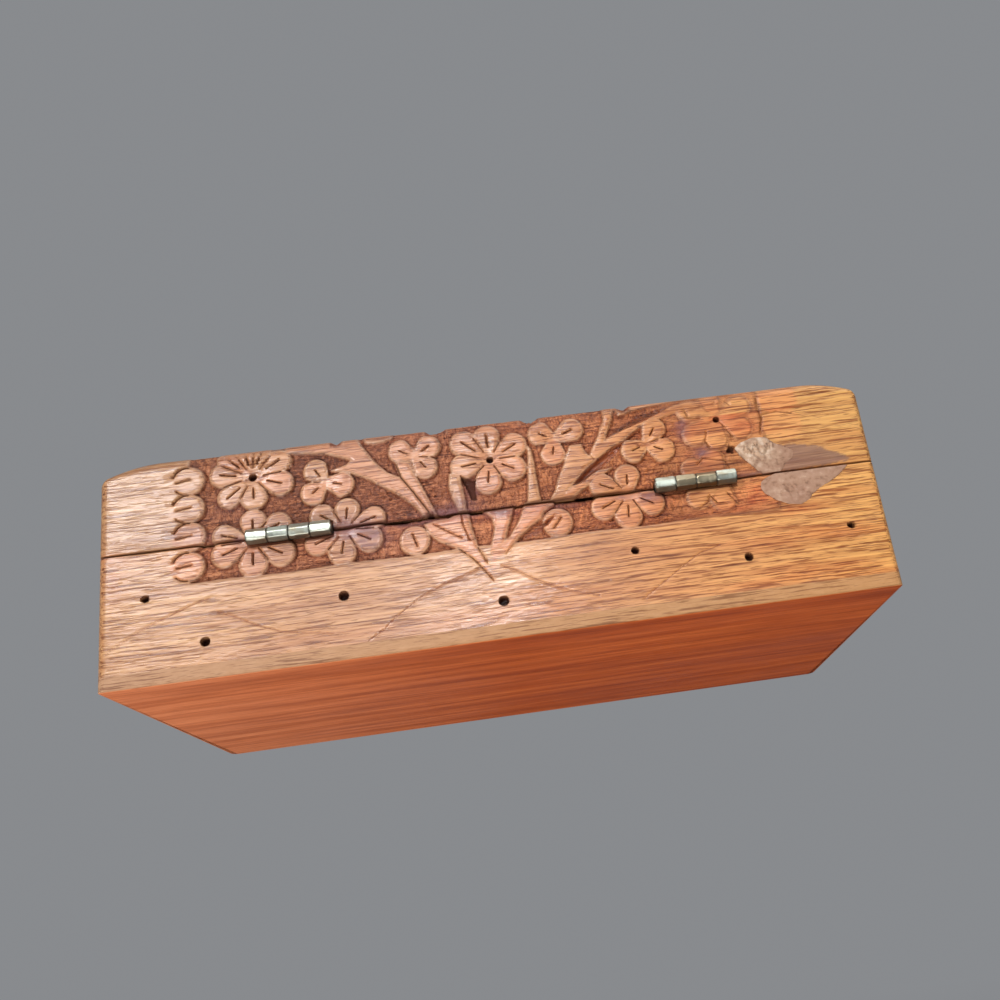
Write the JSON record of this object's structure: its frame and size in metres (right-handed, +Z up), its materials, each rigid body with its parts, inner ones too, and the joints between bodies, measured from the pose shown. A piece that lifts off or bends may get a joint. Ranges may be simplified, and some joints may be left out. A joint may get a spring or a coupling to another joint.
{
  "type": "rosary box",
  "caption": "Small hinged wooden keepsake box for a rosary, with carved flower bands, a carved top and a lid on small butt hinges.",
  "frame": {"origin": "middle of the flat underside that the box stands on", "axes": "+X along the length towards the end that lies at the left when the hinged back is seen, +Y towards the hinged back, +Z up"},
  "size_m": [0.18, 0.103, 0.0536],
  "materials": {
    "base_wood": "golden tan hardwood, hand carved, worn oil finish",
    "lid_wood": "golden tan to reddish hardwood, hand carved, worn oil finish",
    "bottom_wood": "red-brown hardwood, smooth",
    "hinge_metal": "worn nickel-plated steel, dented",
    "pin_metal": "dull steel wire",
    "screw_metal": "plated steel",
    "filler": "dried filler paste, lumpy and matt"
  },
  "bodies": {
    "base": {"bottom_board": "bottom_wood", "base_back_wall": "base_wood", "base_front_wall": "base_wood", "base_left_wall": "base_wood", "base_right_wall": "base_wood", "left_hinge_base_leaf": "hinge_metal", "right_hinge_base_leaf": "hinge_metal", "left_hinge_pin": "pin_metal", "right_hinge_pin": "pin_metal", "left_hinge_base_screws": "screw_metal", "right_hinge_base_screws": "screw_metal", "base_filler_patch": "filler"},
    "lid": {"lid_top_board": "lid_wood", "lid_back_rail": "lid_wood", "lid_front_rail": "lid_wood", "lid_left_rail": "lid_wood", "lid_right_rail": "lid_wood", "left_hinge_lid_leaf": "hinge_metal", "right_hinge_lid_leaf": "hinge_metal", "left_hinge_lid_screws": "screw_metal", "right_hinge_lid_screws": "screw_metal", "lid_filler_patch": "filler"}
  },
  "joints": [
    {"name": "lid_hinge", "type": "hinge", "parent": "base", "child": "lid", "pos_m": [0, 0.0512, 0.031], "axis": [-1, 0, 0], "range_deg": [0, 180]}
  ]
}
